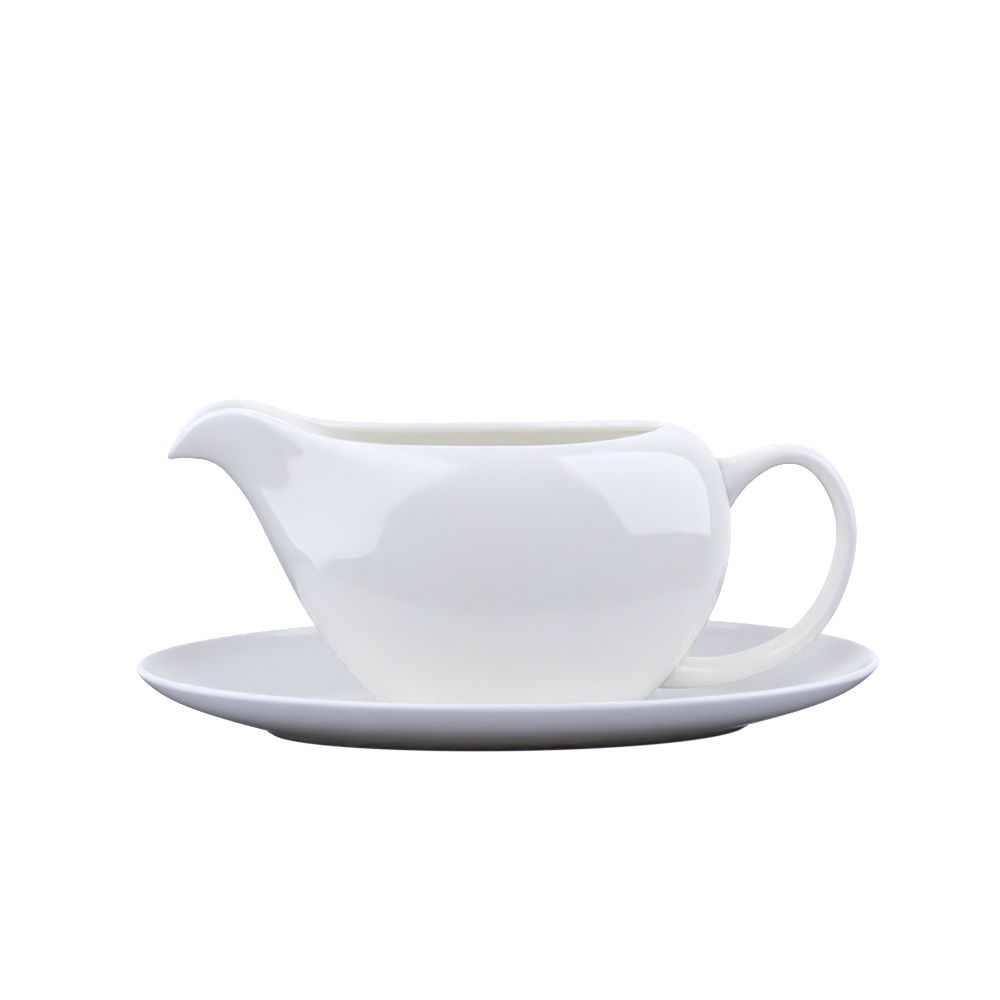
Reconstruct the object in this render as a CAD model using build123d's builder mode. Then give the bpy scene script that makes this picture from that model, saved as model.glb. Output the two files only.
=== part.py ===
"""Gravy boat on a separate oval stand: glazed bone china, millimetres, +Z up.

The spout points along -X and the handle along +X.  Both vessels are thin shells: each one is
described by its outer surface, and the inner surface follows it at the wall thickness.
"""

import os
from math import cos, dist, exp, pi, radians, sin

from build123d import *

os.makedirs("parts", exist_ok=True)

# Stand
STAND_LENGTH = 222.0
STAND_WIDTH = 147.0
STAND_FOOT_LENGTH = 149.0
STAND_FOOT_WIDTH = 73.0
STAND_FOOT_HEIGHT = 2.4
STAND_FOOT_TAPER = 3.0  # the foot narrows by this much all round down to the ground
STAND_FOOT_BAND = 7.0
STAND_WALL = 2.6
STAND_HEIGHT = 21.9
STAND_EGG = 0.05  # the plan is this much fuller towards the handle
STAND_FLARE = radians(48)  # slope of the underside where it reaches the lip
WELL_FLOOR = 5.0

# Boat body
WALL = 3.8
SPOUT_LIP_WALL = 1.9  # the pouring edge is thinner
FOOT_LEVEL = WELL_FLOOR
FOOT_LENGTH = 74.0
FOOT_WIDTH = 52.0
FOOT_BAND = 5.0
FOOT_RECESS = 1.5
INNER_FLOOR = FOOT_LEVEL + 5.5
BELLY_LEVEL = 58.0
BELLY_BACK = 65.9  # reach of the belly towards the handle
BELLY_SIDE = 45.0  # reach of the belly to either side
SHOULDER_POWER = 2.35  # roundness of the shoulder, 2 is an ellipse
SHOULDER_BACK = (42.0, 91.5, radians(82))  # centre reach, top level, sweep
SHOULDER_SIDE = (26.0, 90.6, radians(66))
SPOUT_PINCH = 0.2  # how far the flanks of the spout are drawn in
SPOUT_PINCH_ANGLE = 36.0
SPOUT_PINCH_SPREAD = 14.0

# Line of the keel, from the foot up under the beak: reach towards the spout, level
KEEL_BELOW = [
    (37.0, 5.0),
    (43.4, 13.0),
    (49.3, 19.7),
    (55.5, 27.9),
    (60.7, 36.1),
    (66.4, 46.9),
    (71.8, 58.0),
]
KEEL_ABOVE = [
    (76.3, 67.3),
    (79.4, 72.4),
    (82.6, 76.5),
    (85.7, 79.6),
    (89.5, 81.5),
    (93.5, 82.1),
    (97.4, 82.2),
    (99.9, 82.0),
]

# Rise of the lip above its level at the sides, by angle from the tip of the spout
LIP_RISE = [
    (0, -6.3),
    (10, -3.2),
    (17, 1.2),
    (24, 5.5),
    (30, 7.9),
    (38, 8.4),
    (49, 4.7),
    (60, 1.6),
    (75, 0.25),
    (90, 0),
]

# Handle: reach and level of the middle of the strap, thickness, width, direction of the strap
HANDLE_SECTIONS = [
    (62.3, 71.8, 18.2, 18.6, 16),
    (64.1, 72.9, 15.4, 17.0, 14.5),
    (66.5, 74.5, 12.4, 15.4, 13),
    (69.7, 76.7, 9.8, 14.2, 13),
    (72.6, 78.4, 8.3, 13.0, 15),
    (76.2, 80.1, 7.0, 12.3, 17),
    (81.8, 81.4, 6.4, 11.8, 6),
    (87.3, 81.0, 6.4, 11.6, -15),
    (92.6, 78.0, 6.3, 11.5, -42),
    (97.4, 72.0, 6.2, 11.5, -61),
    (100.5, 64.6, 6.1, 11.5, -74),
    (101.5, 56.4, 6.1, 11.5, -90),
    (100.4, 48.0, 6.2, 11.6, -104),
    (97.6, 39.6, 6.4, 11.8, -115),
    (92.8, 31.3, 6.8, 12.2, -126),
    (86.4, 24.9, 7.1, 12.6, -142),
    (78.2, 20.2, 7.5, 13.2, -155),
    (68.6, 17.0, 8.0, 14.0, -166),
    (58.6, 15.6, 8.8, 15.2, -177),
    (51.0, 15.9, 10.2, 16.6, -196),
    (45.9, 16.6, 12.4, 18.0, -218),
]

RING_ANGLES = [0, 6, 12, 18, 24, 30, 37, 45, 55, 67, 80, 95, 110, 125, 140, 155, 168, 180]
FULL_TURN = [-angle for angle in reversed(RING_ANGLES[1:])] + RING_ANGLES[:-1]


def spline_at(knots, points):
    """Natural cubic spline through points at the given knots, as a function of the parameter."""
    count = len(knots)
    gaps = [end - start for start, end in zip(knots, knots[1:])]
    bends = []
    for values in zip(*points):
        diagonal = [1.0] * count
        right = [0.0] * count
        target = [0.0] * count
        for i in range(1, count - 1):
            rise = (values[i + 1] - values[i]) / gaps[i] - (values[i] - values[i - 1]) / gaps[i - 1]
            weight = gaps[i - 1] / diagonal[i - 1]
            diagonal[i] = 2 * (gaps[i - 1] + gaps[i]) - weight * right[i - 1]
            right[i] = gaps[i]
            target[i] = 6 * rise - weight * target[i - 1]
        bend = [0.0] * count
        for i in reversed(range(1, count - 1)):
            bend[i] = (target[i] - right[i] * bend[i + 1]) / diagonal[i]
        bends.append(bend)

    def at(parameter):
        i = 0
        while i < count - 2 and parameter > knots[i + 1]:
            i += 1
        after = (parameter - knots[i]) / gaps[i]
        before = 1 - after
        return [
            before * values[i]
            + after * values[i + 1]
            + ((before**3 - before) * bend[i] + (after**3 - after) * bend[i + 1]) * gaps[i] ** 2 / 6
            for values, bend in zip(zip(*points), bends)
        ]

    return at


def fractions(points):
    """Position of each point along the line through all of them, from 0 to 1."""
    lengths = [0.0]
    for start, end in zip(points, points[1:]):
        lengths.append(lengths[-1] + dist(start, end))
    return [length / lengths[-1] for length in lengths]


KEEL_UPPER = [KEEL_BELOW[-1]] + KEEL_ABOVE
keel_reach_below = spline_at([level for _, level in KEEL_BELOW], [(reach,) for reach, _ in KEEL_BELOW])
keel_above = spline_at(fractions(KEEL_UPPER), KEEL_UPPER)
lip_rise = spline_at([angle for angle, _ in LIP_RISE], [(rise,) for _, rise in LIP_RISE])


def spread(level, belly, foot):
    """Reach of the wall between the foot and the belly: a parabola standing on its side."""
    return belly - (belly - foot) * ((BELLY_LEVEL - level) / (BELLY_LEVEL - FOOT_LEVEL)) ** 2


def shoulder(progress, belly, centre, top, sweep):
    """Reach and level of the rounded shoulder above the belly."""
    turn = progress * sweep
    reach = centre + (belly - centre) * cos(turn) ** (2 / SHOULDER_POWER)
    return reach, BELLY_LEVEL + (top - BELLY_LEVEL) * sin(turn) ** (2 / SHOULDER_POWER)


def boat_surface(angle, t):
    """Outer surface of the boat: angle 0 at the spout tip, t 0 at the foot and 1 at the lip."""
    from_tip = abs((angle + 180) % 360 - 180)
    turn = radians(from_tip)
    rising = max(0.0, 2 * t - 1)
    if t <= 0.5:
        level = FOOT_LEVEL + (BELLY_LEVEL - FOOT_LEVEL) * 2 * t
        back = spread(level, BELLY_BACK, FOOT_LENGTH / 2)
        side = spread(level, BELLY_SIDE, FOOT_WIDTH / 2)
        front = keel_reach_below(level)[0]
        back_level = side_level = keel_level = level
    else:
        back, back_level = shoulder(rising, BELLY_BACK, *SHOULDER_BACK)
        side, side_level = shoulder(rising, BELLY_SIDE, *SHOULDER_SIDE)
        front, keel_level = keel_above(rising)
    if from_tip > 90:
        reach = back
        pinch = 0.0
        level = side_level + (back_level - side_level) * cos(turn) ** 2
    else:
        reach = front
        fade = 1 - (1 - min(1.0, 2 * rising)) ** 2
        pinch = fade * SPOUT_PINCH * exp(-(((from_tip - SPOUT_PINCH_ANGLE) / SPOUT_PINCH_SPREAD) ** 2))
        lift = rising**2.5
        dip = keel_level - side_level - lip_rise(0)[0] * lift
        level = side_level + lip_rise(from_tip)[0] * lift + dip * exp(-((from_tip / 16) ** 2))
    return Vector(-reach * cos(turn), side * (1 - pinch) * sin(radians(angle)), level)


def stand_surface(angle, t):
    """Underside of the stand: t 0 at the foot and 1 where the lip begins, angle 0 towards -X."""
    turn = radians(angle)
    lip_radius = STAND_WALL / 2
    tuck = lip_radius * (1 - sin(STAND_FLARE))
    top = STAND_HEIGHT - lip_radius * (1 + cos(STAND_FLARE))
    length = STAND_FOOT_LENGTH / 2 + (STAND_LENGTH / 2 - tuck - STAND_FOOT_LENGTH / 2) * t
    width = STAND_FOOT_WIDTH / 2 + (STAND_WIDTH / 2 - tuck - STAND_FOOT_WIDTH / 2) * t
    level = STAND_FOOT_HEIGHT + (top - STAND_FOOT_HEIGHT) * (0.65 * t + 0.14 * t**2 + 0.21 * t**8)
    return Vector(-length * cos(turn), width * (1 - STAND_EGG * cos(turn)) * sin(turn), level)


def wall_at(surface, angle, t):
    """Point of the outer surface, its outward normal and its direction towards the lip."""
    around = surface(angle + 0.5, t) - surface(angle - 0.5, t)
    upward = (surface(angle, t + 0.001) - surface(angle, t - 0.001)).normalized()
    return surface(angle, t), upward.cross(around).normalized(), upward


def boat_wall(angle):
    """Thickness of the boat's wall, thinner at the pouring edge."""
    from_tip = (angle + 180) % 360 - 180
    return WALL - (WALL - SPOUT_LIP_WALL) * exp(-((from_tip / 22) ** 2))


def stand_wall(angle):
    """Thickness of the stand, the same all round."""
    return STAND_WALL


def ring(points):
    """Closed smooth line through one point for each angle of the full turn."""
    steps = [(angle + 180) / 360 for angle in FULL_TURN] + [1.0]
    with BuildLine() as outline:
        add(Edge.make_spline(points, periodic=True, parameters=steps))
    return outline.wire()


def outer_ring(surface, t):
    """Ring on the outer surface."""
    return ring([surface(angle, t) for angle in FULL_TURN])


def lip_ring(surface, wall, part_way):
    """Ring on the rounded edge, part_way 0 at the outer surface and 1 at the inner one."""
    points = []
    for angle in FULL_TURN:
        point, normal, upward = wall_at(surface, angle, 0.998)
        radius = wall(angle) / 2
        turn = pi * part_way
        points.append(point + normal * radius * (cos(turn) - 1) + upward * radius * sin(turn))
    return ring(points)


def inner_ring(surface, wall, t):
    """Ring on the inner surface, one wall thickness inside the outer surface."""
    points = []
    for angle in FULL_TURN:
        point, normal, _ = wall_at(surface, angle, t)
        points.append(point - normal * wall(angle))
    return ring(points)


def oval_ring(length, width, level, egg=0.0):
    """Level oval ring, fuller towards +X by the fraction egg."""
    points = []
    for angle in FULL_TURN:
        turn = radians(angle)
        half_width = width / 2 * (1 - egg * cos(turn))
        points.append((-length / 2 * cos(turn), half_width * sin(turn), level))
    return ring(points)


def shell(surface, wall, outer_steps, inner_steps, floor_rings):
    """Solid wall between the outer surface, the rounded lip and the inner surface."""
    rings = [outer_ring(surface, t) for t in outer_steps]
    rings += [lip_ring(surface, wall, part_way) for part_way in (0.2, 0.4, 0.6, 0.8)]
    rings += [inner_ring(surface, wall, t) for t in inner_steps]
    return Solid.make_loft(rings + floor_rings)


def foot_ring_solid(length, width, band, taper, height, egg=0.0):
    """Oval foot standing on the ground, open in the middle and narrowing downwards outside."""
    ground = oval_ring(length - 2 * taper, width - 2 * taper, 0, egg)
    hollow = oval_ring(length - 2 * taper - 2 * band, width - 2 * taper - 2 * band, 0, egg)
    with BuildSketch() as opening:
        make_face(hollow)
    with BuildPart() as foot:
        add(Solid.make_loft([ground, oval_ring(length, width, height, egg)]))
        extrude(opening.sketch, height, mode=Mode.SUBTRACT)
    return foot.part


# Stand: a shallow oval dish on a low foot ring
stand_floor = [
    oval_ring(STAND_FOOT_LENGTH - 2, STAND_FOOT_WIDTH - 2, WELL_FLOOR + 0.35, STAND_EGG),
    oval_ring(STAND_FOOT_LENGTH - 12, STAND_FOOT_WIDTH - 6, WELL_FLOOR, STAND_EGG),
]
with BuildPart() as stand:
    add(
        shell(
            stand_surface,
            stand_wall,
            (0, 0.12, 0.25, 0.4, 0.55, 0.7, 0.84, 0.94, 1.0),
            (0.98, 0.9, 0.8, 0.65, 0.5, 0.35, 0.2),
            stand_floor,
        )
    )
    add(
        foot_ring_solid(
            STAND_FOOT_LENGTH - 0.6,
            STAND_FOOT_WIDTH - 0.6,
            STAND_FOOT_BAND,
            STAND_FOOT_TAPER,
            STAND_FOOT_HEIGHT,
            STAND_EGG,
        )
    )

# Boat body: the bowl, its shoulder and the spout are one wall
boat_floor = [
    oval_ring(FOOT_LENGTH - 2, FOOT_WIDTH - 4, INNER_FLOOR + 0.5),
    oval_ring(FOOT_LENGTH - 14, FOOT_WIDTH - 14, INNER_FLOOR),
]
with BuildSketch(Plane.XY.offset(FOOT_LEVEL)) as foot_recess:
    Ellipse(FOOT_LENGTH / 2 - FOOT_BAND, FOOT_WIDTH / 2 - FOOT_BAND)
with BuildPart() as boat_body:
    add(
        shell(
            boat_surface,
            boat_wall,
            (0, 0.08, 0.16, 0.25, 0.34, 0.42, 0.5, 0.58, 0.66, 0.74, 0.82, 0.89, 0.95, 1.0),
            (0.998, 0.95, 0.89, 0.82, 0.74, 0.66, 0.58, 0.5, 0.42, 0.34, 0.25, 0.16),
            boat_floor,
        )
    )
    extrude(foot_recess.sketch, FOOT_RECESS, mode=Mode.SUBTRACT)

# Handle: an oval strap bent into an ear and luted to the body at both ends
handle_profiles = []
for reach, level, thickness, width, heading in HANDLE_SECTIONS:
    along = Vector(cos(radians(heading)), 0, sin(radians(heading)))
    with BuildSketch(Plane(origin=(reach, 0, level), x_dir=(0, 1, 0), z_dir=along)) as strap:
        Ellipse(width / 2, thickness / 2)
    handle_profiles.append(strap.sketch)
with BuildPart() as boat_handle:
    loft(sections=handle_profiles)
    add(boat_body.part, mode=Mode.SUBTRACT)

stand.part.label = "stand"
boat_body.part.label = "boat_body"
boat_handle.part.label = "boat_handle"
export_step(stand.part, "parts/stand.step")
export_step(boat_body.part, "parts/boat_body.step")
export_step(boat_handle.part, "parts/boat_handle.step")
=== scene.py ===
from math import cos, dist, exp, pi, radians, sin

import bmesh
import bpy
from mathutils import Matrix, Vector


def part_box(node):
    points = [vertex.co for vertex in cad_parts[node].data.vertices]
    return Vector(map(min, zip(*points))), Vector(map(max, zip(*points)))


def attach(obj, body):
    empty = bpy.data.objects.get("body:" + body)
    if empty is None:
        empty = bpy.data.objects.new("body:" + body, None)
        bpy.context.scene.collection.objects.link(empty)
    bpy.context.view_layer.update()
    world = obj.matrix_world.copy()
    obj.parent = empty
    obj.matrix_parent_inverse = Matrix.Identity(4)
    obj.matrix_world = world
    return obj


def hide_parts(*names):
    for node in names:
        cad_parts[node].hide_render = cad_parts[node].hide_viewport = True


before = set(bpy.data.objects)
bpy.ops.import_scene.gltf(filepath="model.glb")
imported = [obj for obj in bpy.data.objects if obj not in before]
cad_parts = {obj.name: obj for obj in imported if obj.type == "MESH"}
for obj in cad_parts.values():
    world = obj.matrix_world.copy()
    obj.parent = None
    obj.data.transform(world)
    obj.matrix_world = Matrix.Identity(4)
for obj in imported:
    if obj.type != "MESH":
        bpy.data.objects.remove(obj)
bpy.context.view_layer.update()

MM = 0.001
stand_low, stand_high = (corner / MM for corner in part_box("stand"))
body_low, body_high = (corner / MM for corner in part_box("boat_body"))

# ---------------------------------------------------------------- shape, millimetres
STAND_LENGTH = stand_high.x - stand_low.x
STAND_WIDTH = stand_high.y - stand_low.y
STAND_HEIGHT = stand_high.z
STAND_FOOT_LENGTH = 149.0
STAND_FOOT_WIDTH = 73.0
STAND_FOOT_HEIGHT = 2.4
STAND_FOOT_TAPER = 3.0
STAND_FOOT_BAND = 7.0
STAND_WALL = 2.6
STAND_EGG = 0.05
STAND_FLARE = radians(48)

WALL = 3.8
SPOUT_LIP_WALL = 1.9
FOOT_LEVEL = body_low.z
WELL_FLOOR = FOOT_LEVEL
FOOT_LENGTH = 74.0
FOOT_WIDTH = 52.0
FOOT_BAND = 5.0
FOOT_RECESS = 1.5
INNER_FLOOR = FOOT_LEVEL + 5.5
BELLY_LEVEL = 58.0
BELLY_BACK = body_high.x
BELLY_SIDE = body_high.y
SHOULDER_POWER = 2.35
# centre of the shoulder's curve, its top and how far the curve turns, at the handle and at the sides
SHOULDER_BACK = (42.0, 91.5, radians(82))
SHOULDER_SIDE = (26.0, 90.6, radians(66))
SPOUT_PINCH = 0.2
SPOUT_PINCH_ANGLE = 36.0
SPOUT_PINCH_SPREAD = 14.0
# the spout's line below and above the belly: reach from the axis towards the spout, level
KEEL_BELOW = [
    (37.0, 5.0), (43.4, 13.0), (49.3, 19.7), (55.5, 27.9),
    (60.7, 36.1), (66.4, 46.9), (71.8, 58.0),
]
KEEL_ABOVE = [
    (76.3, 67.3), (79.4, 72.4), (82.6, 76.5), (85.7, 79.6),
    (89.5, 81.5), (93.5, 82.1), (97.4, 82.2), (99.9, 82.0),
]
# height of the lip over the bowl's own lip, by angle from the spout's tip
LIP_RISE = [
    (0, -6.3), (10, -3.2), (17, 1.2), (24, 5.5), (30, 7.9),
    (38, 8.4), (49, 4.7), (60, 1.6), (75, 0.25), (90, 0),
]
# along the handle's centre line: reach, level, thickness, width, heading in degrees
HANDLE_SECTIONS = [
    (62.3, 71.8, 18.2, 18.6, 16),
    (64.1, 72.9, 15.4, 17.0, 14.5),
    (66.5, 74.5, 12.4, 15.4, 13),
    (69.7, 76.7, 9.8, 14.2, 13),
    (72.6, 78.4, 8.3, 13.0, 15),
    (76.2, 80.1, 7.0, 12.3, 17),
    (81.8, 81.4, 6.4, 11.8, 6),
    (87.3, 81.0, 6.4, 11.6, -15),
    (92.6, 78.0, 6.3, 11.5, -42),
    (97.4, 72.0, 6.2, 11.5, -61),
    (100.5, 64.6, 6.1, 11.5, -74),
    (101.5, 56.4, 6.1, 11.5, -90),
    (100.4, 48.0, 6.2, 11.6, -104),
    (97.6, 39.6, 6.4, 11.8, -115),
    (92.8, 31.3, 6.8, 12.2, -126),
    (86.4, 24.9, 7.1, 12.6, -142),
    (78.2, 20.2, 7.5, 13.2, -155),
    (68.6, 17.0, 8.0, 14.0, -166),
    (58.6, 15.6, 8.8, 15.2, -177),
    (51.0, 15.9, 10.2, 16.6, -196),
    (45.9, 16.6, 12.4, 18.0, -218),
]
TURN_STEPS = 180
HANDLE_STEPS = 110
LIP_START = 0.998  # where the wall's surface ends and its rounded lip begins
STRAP_STEPS = 40
ANGLES = [360 * step / TURN_STEPS - 180 for step in range(TURN_STEPS)]


def spline_at(knots, points):
    """Natural cubic spline through points at the given knots, as a function of the parameter."""
    count = len(knots)
    gaps = [end - start for start, end in zip(knots, knots[1:])]
    bends = []
    for values in zip(*points):
        diagonal = [1.0] * count
        right = [0.0] * count
        target = [0.0] * count
        for i in range(1, count - 1):
            rise = (values[i + 1] - values[i]) / gaps[i] - (values[i] - values[i - 1]) / gaps[i - 1]
            weight = gaps[i - 1] / diagonal[i - 1]
            diagonal[i] = 2 * (gaps[i - 1] + gaps[i]) - weight * right[i - 1]
            right[i] = gaps[i]
            target[i] = 6 * rise - weight * target[i - 1]
        bend = [0.0] * count
        for i in reversed(range(1, count - 1)):
            bend[i] = (target[i] - right[i] * bend[i + 1]) / diagonal[i]
        bends.append(bend)

    def at(parameter):
        i = 0
        while i < count - 2 and parameter > knots[i + 1]:
            i += 1
        after = (parameter - knots[i]) / gaps[i]
        before = 1 - after
        return [
            before * values[i]
            + after * values[i + 1]
            + ((before**3 - before) * bend[i] + (after**3 - after) * bend[i + 1]) * gaps[i] ** 2 / 6
            for values, bend in zip(zip(*points), bends)
        ]

    return at


def fractions(points):
    """Position of each point along the line through all of them, from 0 to 1."""
    lengths = [0.0]
    for start, end in zip(points, points[1:]):
        lengths.append(lengths[-1] + dist(start, end))
    return [length / lengths[-1] for length in lengths]


KEEL_UPPER = [KEEL_BELOW[-1]] + KEEL_ABOVE
keel_reach_below = spline_at([level for _, level in KEEL_BELOW], [(reach,) for reach, _ in KEEL_BELOW])
keel_above = spline_at(fractions(KEEL_UPPER), KEEL_UPPER)
lip_rise = spline_at([angle for angle, _ in LIP_RISE], [(rise,) for _, rise in LIP_RISE])


def spread(level, belly, foot):
    """Reach of the lower wall at a level, from the foot out to the belly."""
    return belly - (belly - foot) * ((BELLY_LEVEL - level) / (BELLY_LEVEL - FOOT_LEVEL)) ** 2


def shoulder(progress, belly, centre, top, sweep):
    """Reach and level of the upper wall, from the belly (0) over the shoulder to the lip (1)."""
    turn = progress * sweep
    reach = centre + (belly - centre) * cos(turn) ** (2 / SHOULDER_POWER)
    return reach, BELLY_LEVEL + (top - BELLY_LEVEL) * sin(turn) ** (2 / SHOULDER_POWER)


def boat_surface(angle, t):
    """Outer surface of the boat: angle 0 at the spout tip, t 0 at the foot and 1 at the lip."""
    from_tip = abs((angle + 180) % 360 - 180)
    turn = radians(from_tip)
    rising = max(0.0, 2 * t - 1)
    if t <= 0.5:
        level = FOOT_LEVEL + (BELLY_LEVEL - FOOT_LEVEL) * 2 * t
        back = spread(level, BELLY_BACK, FOOT_LENGTH / 2)
        side = spread(level, BELLY_SIDE, FOOT_WIDTH / 2)
        front = keel_reach_below(level)[0]
        back_level = side_level = keel_level = level
    else:
        back, back_level = shoulder(rising, BELLY_BACK, *SHOULDER_BACK)
        side, side_level = shoulder(rising, BELLY_SIDE, *SHOULDER_SIDE)
        front, keel_level = keel_above(rising)
    if from_tip > 90:
        reach = back
        pinch = 0.0
        level = side_level + (back_level - side_level) * cos(turn) ** 2
    else:
        reach = front
        fade = 1 - (1 - min(1.0, 2 * rising)) ** 2
        pinch = fade * SPOUT_PINCH * exp(-(((from_tip - SPOUT_PINCH_ANGLE) / SPOUT_PINCH_SPREAD) ** 2))
        lift = rising**2.5
        dip = keel_level - side_level - lip_rise(0)[0] * lift
        level = side_level + lip_rise(from_tip)[0] * lift + dip * exp(-((from_tip / 16) ** 2))
    return Vector((-reach * cos(turn), side * (1 - pinch) * sin(radians(angle)), level))


def stand_surface(angle, t):
    """Underside of the stand: t 0 at the foot and 1 where the lip begins."""
    turn = radians(angle)
    lip_radius = STAND_WALL / 2
    tuck = lip_radius * (1 - sin(STAND_FLARE))
    top = STAND_HEIGHT - lip_radius * (1 + cos(STAND_FLARE))
    length = STAND_FOOT_LENGTH / 2 + (STAND_LENGTH / 2 - tuck - STAND_FOOT_LENGTH / 2) * t
    width = STAND_FOOT_WIDTH / 2 + (STAND_WIDTH / 2 - tuck - STAND_FOOT_WIDTH / 2) * t
    rise = 0.65 * t + 0.14 * t**2 + 0.21 * abs(t) ** 8
    level = STAND_FOOT_HEIGHT + (top - STAND_FOOT_HEIGHT) * rise
    return Vector((-length * cos(turn), width * (1 - STAND_EGG * cos(turn)) * sin(turn), level))


def wall_at(surface, angle, t):
    """Point, outward normal and upward direction of a surface."""
    around = surface(angle + 0.5, t) - surface(angle - 0.5, t)
    upward = (surface(angle, t + 0.001) - surface(angle, t - 0.001)).normalized()
    return surface(angle, t), upward.cross(around).normalized(), upward


def boat_wall(angle):
    """Thickness of the boat's wall, thinner at the spout's lip."""
    from_tip = (angle + 180) % 360 - 180
    return WALL - (WALL - SPOUT_LIP_WALL) * exp(-((from_tip / 22) ** 2))


def stand_wall(_):
    """Thickness of the stand's wall, the same at every angle."""
    return STAND_WALL


def steps(start, end, count):
    """Evenly spaced numbers from start to end, both included."""
    return [start + (end - start) * i / (count - 1) for i in range(count)]


def wall_rings(surface, wall, first, last, count, lip_count=10):
    """Rings of points up the outer surface, over the rounded lip and down the inner surface."""
    rings = []
    for t in steps(first, LIP_START, count):
        rings.append([surface(angle, t) for angle in ANGLES])
    edge = [wall_at(surface, angle, LIP_START) for angle in ANGLES]
    for part_way in steps(0, 1, lip_count + 2)[1:-1]:
        turn = pi * part_way
        ring = []
        for angle, (point, normal, upward) in zip(ANGLES, edge):
            radius = wall(angle) / 2
            ring.append(point + normal * radius * (cos(turn) - 1) + upward * radius * sin(turn))
        rings.append(ring)
    for t in steps(LIP_START, last, count):
        ring = []
        for angle in ANGLES:
            point, normal, _ = wall_at(surface, angle, t)
            ring.append(point - normal * wall(angle))
        rings.append(ring)
    return rings


def oval(length, width, level, egg=0.0):
    """Ring of points; egg makes it wider towards the handle."""
    ring = []
    for angle in ANGLES:
        turn = radians(angle)
        across = width / 2 * (1 - egg * cos(turn)) * sin(turn)
        ring.append(Vector((-length / 2 * cos(turn), across, level)))
    return ring


def foot_rings(length, width, band, ground, height, egg=0.0, edge=0.6):
    """From the middle of the recess out over the flat foot band and up its outer wall."""
    roof = ground + height
    inner_length = length - 2 * band
    inner_width = width - 2 * band
    rings = []
    for share in (0.02, 0.2, 0.4, 0.6, 0.8, 0.92):
        rings.append(oval(inner_length * share, inner_width * share, roof, egg))
    for turn in steps(0, pi / 2, 5):
        inset = edge * (1 - sin(turn))
        level = roof - edge * (1 - cos(turn))
        rings.append(oval(inner_length - 2 * inset, inner_width - 2 * inset, level, egg))
    for turn in steps(0, pi / 2, 5):
        outset = edge * (1 - cos(turn))
        level = ground + edge * (1 - sin(turn))
        rings.append(oval(inner_length + 2 * outset, inner_width + 2 * outset, level, egg))
    for turn in steps(0, pi / 2, 5):
        inset = edge * (1 - sin(turn))
        level = ground + edge * (1 - cos(turn))
        rings.append(oval(length - 2 * inset, width - 2 * inset, level, egg))
    return rings


def make_piece(name, rings, cap_start=True, cap_end=True):
    """Closed smooth mesh through rings of points in millimetres."""
    mesh = bmesh.new()
    rows = [[mesh.verts.new(point * MM) for point in ring] for ring in rings]
    for low, high in zip(rows, rows[1:]):
        for i, corner in enumerate(low):
            following = (i + 1) % len(low)
            mesh.faces.new((corner, low[following], high[following], high[i]))
    if cap_start:
        mesh.faces.new(list(reversed(rows[0])))
    if cap_end:
        mesh.faces.new(rows[-1])
    bmesh.ops.recalc_face_normals(mesh, faces=mesh.faces)
    for face in mesh.faces:
        face.smooth = True
    data = bpy.data.meshes.new(name)
    mesh.to_mesh(data)
    mesh.free()
    piece = bpy.data.objects.new(name, data)
    bpy.context.scene.collection.objects.link(piece)
    return piece


# ---------------------------------------------------------------- stand
stand_rings = foot_rings(
    STAND_FOOT_LENGTH - 2 * STAND_FOOT_TAPER,
    STAND_FOOT_WIDTH - 2 * STAND_FOOT_TAPER,
    STAND_FOOT_BAND,
    0,
    STAND_FOOT_HEIGHT,
    STAND_EGG,
    edge=0.5,
)


def add_stand_oval(shrink, level, share=1.0):
    """One ring of the stand, smaller than its foot by shrink and then scaled by share."""
    length = (STAND_FOOT_LENGTH - shrink) * share
    width = (STAND_FOOT_WIDTH - shrink) * share
    stand_rings.append(oval(length, width, level, STAND_EGG))


for part_way in (0.4, 0.55, 0.7, 0.82, 0.92):
    add_stand_oval(2 * STAND_FOOT_TAPER * (1 - part_way), STAND_FOOT_HEIGHT * part_way)
stand_rings += wall_rings(stand_surface, stand_wall, 0.006, 0.12, 34)
for shrink, rise in ((0, 0.75), (4, 0.32), (9, 0.08), (14, 0), (24, 0), (36, 0), (50, 0), (62, 0)):
    add_stand_oval(shrink, WELL_FLOOR + rise)
for share in (0.7, 0.4, 0.1, 0.01):
    add_stand_oval(62, WELL_FLOOR, share)
stand = make_piece("stand_dish", stand_rings)
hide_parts("stand")
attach(stand, "stand")

# ---------------------------------------------------------------- boat body
body_rings = foot_rings(FOOT_LENGTH, FOOT_WIDTH, FOOT_BAND, FOOT_LEVEL, FOOT_RECESS, edge=0.5)
body_rings += wall_rings(boat_surface, boat_wall, 0.012, 0.11, 64, lip_count=12)
for length, width, rise in (
    (74, 49, 1.6),
    (68, 43, 0.75),
    (61, 37, 0.25),
    (54, 31, 0.05),
    (44, 24, 0),
    (30, 15, 0),
    (12, 6, 0),
    (0.6, 0.3, 0),
):
    body_rings.append(oval(length, width, INNER_FLOOR + rise))
body = make_piece("boat_bowl", body_rings)
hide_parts("boat_body")
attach(body, "boat")

# ---------------------------------------------------------------- handle
centre_line = [(reach, level) for reach, level, *_ in HANDLE_SECTIONS]
section_at = spline_at(fractions(centre_line), HANDLE_SECTIONS)
handle_rings = []
for along in steps(0, 1, HANDLE_STEPS):
    reach, level, thickness, width, heading = section_at(along)
    outward = Vector((-sin(radians(heading)), 0, cos(radians(heading))))
    ring = []
    for step in range(STRAP_STEPS):
        turn = 2 * pi * step / STRAP_STEPS
        middle = Vector((reach, width / 2 * cos(turn), level))
        ring.append(middle + outward * thickness / 2 * sin(turn))
    handle_rings.append(ring)
handle = make_piece("boat_ear", handle_rings)
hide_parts("boat_handle")
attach(handle, "boat")


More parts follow.
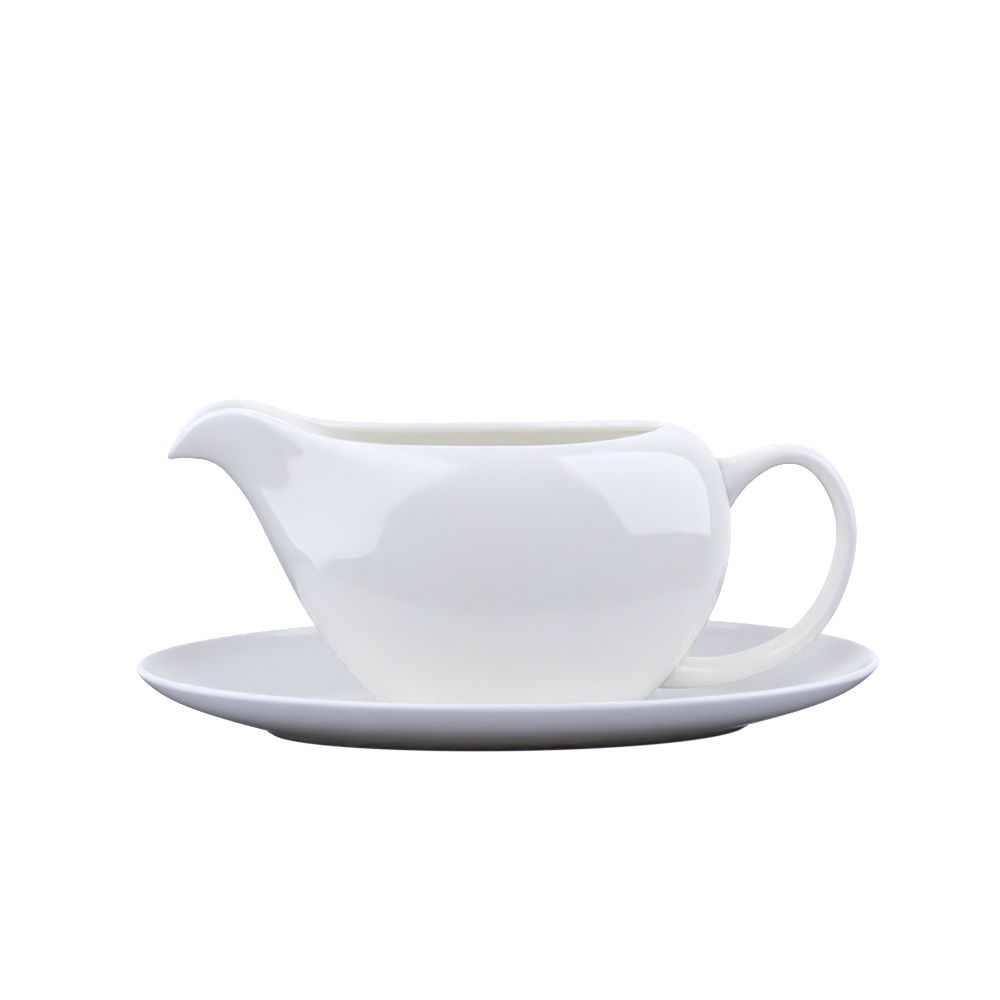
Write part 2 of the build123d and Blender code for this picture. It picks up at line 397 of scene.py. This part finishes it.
# ---------------------------------------------------------------- materials
def node(tree, kind, **inputs):
    """New shader node with the given input values."""
    made = tree.nodes.new(kind)
    for key, value in inputs.items():
        made.inputs[key.replace("_", " ")].default_value = value
    return made


CHINA_DARKER = (0.915, 0.895, 0.825)
CHINA_LIGHTER = (0.940, 0.922, 0.860)
SPECK_COLOUR = (0.84, 0.83, 0.79)
# painted shade low on the stand's foot, greyer and bluer than the china
PAINTED_FOOT_SHADE = (0.52, 0.53, 0.62)
PAINTED_SHADE_FADE = 0.0024
GLAZE_EDGE = 0.00015
NO_FOOT = -1.0


def china(name, bare_below, painted_shade_below, translucency, painted_shade_tone=(1.0, 1.0, 1.0)):
    """White bone china under a clear glaze.

    It is unglazed below the height bare_below and has painted shade, a greyer and bluer colour, below the
    next height; both in metres.
    """
    material = bpy.data.materials.new(name)
    material.use_nodes = True
    tree = material.node_tree
    tree.nodes.clear()
    link = tree.links.new
    output = node(tree, "ShaderNodeOutputMaterial")
    shader = node(tree, "ShaderNodeBsdfPrincipled")
    shader.inputs["IOR"].default_value = 1.52
    shader.inputs["Subsurface Weight"].default_value = translucency
    shader.inputs["Subsurface Radius"].default_value = (0.009, 0.0078, 0.0060)
    shader.inputs["Subsurface Scale"].default_value = 1.0
    shader.inputs["Specular IOR Level"].default_value = 0.5
    link(shader.outputs["BSDF"], output.inputs["Surface"])
    place = node(tree, "ShaderNodeTexCoord")

    # faint clouding of the body colour, as in fired bone china
    cloud = node(tree, "ShaderNodeTexNoise", Scale=22.0, Detail=3.0, Roughness=0.5)
    link(place.outputs["Object"], cloud.inputs["Vector"])
    tint = node(tree, "ShaderNodeValToRGB")
    for stop, position, colour in zip(tint.color_ramp.elements, (0.3, 0.7), (CHINA_DARKER, CHINA_LIGHTER)):
        stop.position = position
        # painted shade: the tone darkens and cools the china colour
        stop.color = (*(part * share for part, share in zip(colour, painted_shade_tone)), 1)
    link(cloud.outputs["Fac"], tint.inputs["Fac"])

    # tiny faint specks, far apart
    specks = node(tree, "ShaderNodeTexVoronoi", Scale=190.0)
    link(place.outputs["Object"], specks.inputs["Vector"])
    speck_mask = node(tree, "ShaderNodeMapRange")
    speck_mask.inputs["From Min"].default_value = 0.030
    speck_mask.inputs["From Max"].default_value = 0.045
    link(specks.outputs["Distance"], speck_mask.inputs["Value"])
    speckled = node(tree, "ShaderNodeMix")
    speckled.data_type = "RGBA"
    speckled.inputs["A"].default_value = (*SPECK_COLOUR, 1)
    link(speck_mask.outputs["Result"], speckled.inputs["Factor"])
    link(tint.outputs["Color"], speckled.inputs["B"])

    # painted shade low on the foot: greyer and bluer, standing in for the shade close to the table
    height = node(tree, "ShaderNodeSeparateXYZ")
    link(place.outputs["Object"], height.inputs["Vector"])
    painted_foot_shade = node(tree, "ShaderNodeMapRange")
    painted_foot_shade.interpolation_type = "SMOOTHSTEP"
    painted_foot_shade.inputs["From Min"].default_value = painted_shade_below - PAINTED_SHADE_FADE
    painted_foot_shade.inputs["From Max"].default_value = painted_shade_below + PAINTED_SHADE_FADE
    link(height.outputs["Z"], painted_foot_shade.inputs["Value"])
    body_colour = node(tree, "ShaderNodeMix")
    body_colour.data_type = "RGBA"
    body_colour.inputs["A"].default_value = (*PAINTED_FOOT_SHADE, 1)
    link(painted_foot_shade.outputs["Result"], body_colour.inputs["Factor"])
    link(speckled.outputs["Result"], body_colour.inputs["B"])
    link(body_colour.outputs["Result"], shader.inputs["Base Color"])

    # gloss of the glaze, varying a little, and matt on the foot band
    sheen = node(tree, "ShaderNodeTexNoise", Scale=55.0, Detail=4.0, Roughness=0.55)
    link(place.outputs["Object"], sheen.inputs["Vector"])
    gloss = node(tree, "ShaderNodeMapRange")
    gloss.inputs["To Min"].default_value = 0.045
    gloss.inputs["To Max"].default_value = 0.085
    link(sheen.outputs["Fac"], gloss.inputs["Value"])
    glazed = node(tree, "ShaderNodeMapRange")
    glazed.inputs["From Min"].default_value = bare_below - GLAZE_EDGE
    glazed.inputs["From Max"].default_value = bare_below + GLAZE_EDGE
    link(height.outputs["Z"], glazed.inputs["Value"])
    rough = node(tree, "ShaderNodeMix")
    rough.data_type = "FLOAT"
    rough.inputs["A"].default_value = 0.62
    link(glazed.outputs["Result"], rough.inputs["Factor"])
    link(gloss.outputs["Result"], rough.inputs["B"])
    link(rough.outputs["Result"], shader.inputs["Roughness"])

    # soft unevenness of the glaze and fine orange peel
    wave = node(tree, "ShaderNodeTexNoise", Scale=34.0, Detail=1.0)
    link(place.outputs["Object"], wave.inputs["Vector"])
    peel = node(tree, "ShaderNodeTexNoise", Scale=420.0, Detail=2.0)
    link(place.outputs["Object"], peel.inputs["Vector"])
    broad = node(tree, "ShaderNodeBump", Strength=0.05, Distance=0.0012)
    link(wave.outputs["Fac"], broad.inputs["Height"])
    fine = node(tree, "ShaderNodeBump", Strength=0.03, Distance=0.0001)
    link(peel.outputs["Fac"], fine.inputs["Height"])
    link(broad.outputs["Normal"], fine.inputs["Normal"])
    link(fine.outputs["Normal"], shader.inputs["Normal"])
    return material


# the stand's china is painted a little darker and bluer than the boat's, as painted shade
stand.data.materials.append(china("china_stand", 0.0003, 0.0034, 0.5, painted_shade_tone=(0.96, 0.975, 1.02)))
body.data.materials.append(china("china_boat", FOOT_LEVEL * MM + 0.0004, NO_FOOT, 0.95))
handle.data.materials.append(china("china_handle", NO_FOOT, NO_FOOT, 0.5))


# ---------------------------------------------------------------- floor, lights and camera, metres
FLOOR_LEVEL = -0.0001
FLOOR_FRONT = -3.0
FLOOR_BEND = 1.6  # where the floor begins to curve up
FLOOR_RADIUS = 0.8
FLOOR_HALF_WIDTH = 3.5
WALL_TOP = 3.2
TABLE_LEVEL = -0.0003
TABLE_REACH = 1.5
TABLE_COLOUR = (0.46, 0.475, 0.58)
TABLE_SHADED = (0.04, 0.043, 0.06)
SHADED_OVAL = (0.112, 0.085)  # half length and half width of the darker part of the table

PANEL_TARGET = Vector((0, 0, 0.05))
PANEL_DISTANCE = 1.6
PANEL_COLOUR = (0.945, 0.965, 1.06)
LEFT_GLOW = 2.1
RIGHT_GLOW = 2.3
STRIP_GLOW = 0.9
# the same panels again, for the broad light alone
LEFT_SOFT = 1.86
RIGHT_SOFT = 2.02
SOFT_FLOOR = 8  # the broad light comes from above this elevation, degrees
SKY_ABOVE = (0.12, 0.12, 0.13)
SKY_BEHIND = (0.92, 0.93, 1.00)
SKY_FRONT = (0.02, 0.02, 0.06)

CAMERA_DISTANCE = 0.860
CAMERA_HEIGHT = 0.180
CAMERA_TURN = radians(6.5)
CAMERA_PAN = radians(-0.207)
CAMERA_TILT = radians(7.38)


def stage_material(name, colour, glow):
    material = bpy.data.materials.new(name)
    material.use_nodes = True
    shader = material.node_tree.nodes["Principled BSDF"]
    shader.inputs["Base Color"].default_value = (*colour, 1)
    shader.inputs["Roughness"].default_value = 0.9
    shader.inputs["Specular IOR Level"].default_value = 0.0
    shader.inputs["Emission Color"].default_value = (1, 1, 1, 1)
    shader.inputs["Emission Strength"].default_value = glow
    return material


def stage_sheet(name, profile, half_width):
    """Sheet through a profile of (y, z) points, extended to either side."""
    mesh = bmesh.new()
    left = [mesh.verts.new((-half_width, y, z)) for y, z in profile]
    right = [mesh.verts.new((half_width, y, z)) for y, z in profile]
    for i in range(len(profile) - 1):
        face = mesh.faces.new((left[i], right[i], right[i + 1], left[i + 1]))
        face.smooth = True
    data = bpy.data.meshes.new(name)
    mesh.to_mesh(data)
    mesh.free()
    piece = bpy.data.objects.new(name, data)
    bpy.context.scene.collection.objects.link(piece)
    return piece


# White floor that curves up into a back wall, seen by the camera alone
floor_profile = [(FLOOR_FRONT, FLOOR_LEVEL), (FLOOR_BEND, FLOOR_LEVEL)]
for turn in steps(0, pi / 2, 16)[1:]:
    floor_profile.append((FLOOR_BEND + FLOOR_RADIUS * sin(turn), FLOOR_RADIUS * (1 - cos(turn))))
floor_profile.append((FLOOR_BEND + FLOOR_RADIUS, WALL_TOP))
floor = stage_sheet("floor_sweep", floor_profile, FLOOR_HALF_WIDTH)
floor.data.materials.append(stage_material("floor_white", (0.8, 0.8, 0.8), 1.0))
floor.visible_diffuse = False
floor.visible_glossy = False
floor.visible_shadow = False

# Grey table that the camera does not see, for the light bounced up under the stand
table = stage_sheet("table_top", [(-TABLE_REACH, TABLE_LEVEL), (TABLE_REACH, TABLE_LEVEL)], TABLE_REACH)
table_grey = stage_material("table_grey", TABLE_COLOUR, 0.0)
table.data.materials.append(table_grey)

# The table is darker under the stand, where little light reaches
tree = table_grey.node_tree
table_place = node(tree, "ShaderNodeTexCoord")
table_oval = node(tree, "ShaderNodeVectorMath")
table_oval.operation = "MULTIPLY"
table_oval.inputs[1].default_value = (1 / SHADED_OVAL[0], 1 / SHADED_OVAL[1], 0.0)
tree.links.new(table_place.outputs["Object"], table_oval.inputs[0])
table_reach = node(tree, "ShaderNodeVectorMath")
table_reach.operation = "LENGTH"
tree.links.new(table_oval.outputs["Vector"], table_reach.inputs[0])
table_fade = node(tree, "ShaderNodeMapRange")
table_fade.interpolation_type = "SMOOTHSTEP"
table_fade.inputs["From Min"].default_value = 0.60
table_fade.inputs["From Max"].default_value = 1.0
tree.links.new(table_reach.outputs["Value"], table_fade.inputs["Value"])
table_colour = node(tree, "ShaderNodeMix")
table_colour.data_type = "RGBA"
table_colour.inputs["A"].default_value = (*TABLE_SHADED, 1)
table_colour.inputs["B"].default_value = (*TABLE_COLOUR, 1)
tree.links.new(table_fade.outputs["Result"], table_colour.inputs["Factor"])
tree.links.new(table_colour.outputs["Result"], tree.nodes["Principled BSDF"].inputs["Base Color"])
table.visible_camera = False
table.visible_glossy = False


def direction(azimuth, elevation):
    """Unit vector away from the boat; azimuth 0 is towards its front, 90 towards the handle."""
    a, e = radians(azimuth), radians(elevation)
    return Vector((sin(a) * cos(e), -cos(a) * cos(e), sin(e)))


def light_panel(name, outline, glow, diffuse=True, glossy=True):
    """Glowing panel whose outline, seen from the boat, has the given azimuths and elevations.

    It lights the pieces broadly if diffuse, and shows in their reflections if glossy.
    """
    mesh = bmesh.new()
    corners = [mesh.verts.new(PANEL_TARGET + direction(*corner) * PANEL_DISTANCE) for corner in outline]
    centre = mesh.verts.new(sum((corner.co for corner in corners), Vector()) / len(corners))
    for i, corner in enumerate(corners):
        mesh.faces.new((corner, corners[(i + 1) % len(corners)], centre))
    data = bpy.data.meshes.new(name)
    mesh.to_mesh(data)
    mesh.free()
    material = bpy.data.materials.new(name)
    material.use_nodes = True
    material.node_tree.nodes.clear()
    shine = node(material.node_tree, "ShaderNodeEmission", Strength=glow)
    shine.inputs["Color"].default_value = (*PANEL_COLOUR, 1)
    output = node(material.node_tree, "ShaderNodeOutputMaterial")
    material.node_tree.links.new(shine.outputs["Emission"], output.inputs["Surface"])
    data.materials.append(material)
    panel = bpy.data.objects.new(name, data)
    bpy.context.scene.collection.objects.link(panel)
    panel.visible_camera = False
    panel.visible_shadow = False
    panel.visible_diffuse = diffuse
    panel.visible_glossy = glossy
    return panel


# Outlines of the panels: azimuth and elevation of each corner, degrees
LEFT_OUTLINE = [
    (-66, -24), (-54, -15), (-48, -7), (-40, -2), (-31, 5),
    (-20, 20), (-11, 36), (-4, 56), (-30, 74), (-100, 66),
    (-112, 20), (-98, -32), (-81, -30),
]
RIGHT_OUTLINE = [
    (45, -2), (41, 8), (37, 20), (32, 35), (29, 53),
    (50, 72), (95, 60), (107, 30), (103, -6), (70, -3),
]
STRIP_OUTLINE = [(106, -26), (106, 14), (134, 14), (134, -26)]


def raised(outline):
    """Outline with its low part brought up to where the broad light begins."""
    return [(azimuth, max(elevation, SOFT_FLOOR)) for azimuth, elevation in outline]


light_panel("panel_left", LEFT_OUTLINE, LEFT_GLOW, diffuse=False)
light_panel("panel_right", RIGHT_OUTLINE, RIGHT_GLOW, diffuse=False)
light_panel("soft_left", raised(LEFT_OUTLINE), LEFT_SOFT, glossy=False)
light_panel("soft_right", raised(RIGHT_OUTLINE), RIGHT_SOFT, glossy=False)
light_panel("panel_strip", STRIP_OUTLINE, STRIP_GLOW)

# Studio walls: soft light from above, from the pale backdrop behind and, dimly, from the front
world = bpy.data.worlds.new("studio")
bpy.context.scene.world = world
world.use_nodes = True
tree = world.node_tree
tree.nodes.clear()
sky = node(tree, "ShaderNodeTexCoord")
split = node(tree, "ShaderNodeSeparateXYZ")
tree.links.new(sky.outputs["Generated"], split.inputs["Vector"])
world_output = node(tree, "ShaderNodeOutputWorld")


def sky_share(axis, start, end):
    """Smooth step from 0 at start to 1 at end along one component of the direction."""
    share = node(tree, "ShaderNodeMapRange")
    share.interpolation_type = "SMOOTHSTEP"
    share.inputs["From Min"].default_value = start
    share.inputs["From Max"].default_value = end
    tree.links.new(split.outputs[axis], share.inputs["Value"])
    return share.outputs["Result"]


def both_shares(first, second):
    """Product of two smooth steps."""
    product = node(tree, "ShaderNodeMath")
    product.operation = "MULTIPLY"
    tree.links.new(first, product.inputs[0])
    tree.links.new(second, product.inputs[1])
    return product.outputs["Value"]


total = None
for colour, share in (
    (SKY_ABOVE, sky_share("Z", 0.55, 0.95)),
    (SKY_BEHIND, both_shares(sky_share("Y", 0.10, 0.70), sky_share("Z", -0.35, -0.15))),
    (SKY_FRONT, both_shares(sky_share("Y", -0.10, -0.70), sky_share("Z", -0.60, -0.20))),
):
    glow = node(tree, "ShaderNodeBackground")
    glow.inputs["Color"].default_value = (*colour, 1)
    tree.links.new(share, glow.inputs["Strength"])
    if total is None:
        total = glow.outputs["Background"]
    else:
        both = node(tree, "ShaderNodeAddShader")
        tree.links.new(total, both.inputs[0])
        tree.links.new(glow.outputs["Background"], both.inputs[1])
        total = both.outputs["Shader"]
tree.links.new(total, world_output.inputs["Surface"])

# Camera: in front, turned a little towards the spout's side and looking slightly down
heading = CAMERA_TURN + CAMERA_PAN
level_reach = cos(CAMERA_TILT)
forward = Vector((sin(heading) * level_reach, cos(heading) * level_reach, -sin(CAMERA_TILT)))
lens = bpy.data.cameras.new("camera")
lens.sensor_width = 36.0
lens.lens = 105.5
camera = bpy.data.objects.new("camera", lens)
camera.location = (
    -CAMERA_DISTANCE * sin(CAMERA_TURN),
    -CAMERA_DISTANCE * cos(CAMERA_TURN),
    CAMERA_HEIGHT,
)
camera.rotation_mode = "QUATERNION"
camera.rotation_quaternion = forward.to_track_quat("-Z", "Y")
bpy.context.scene.collection.objects.link(camera)
bpy.context.scene.camera = camera
bpy.context.scene.view_settings.view_transform = "Standard"
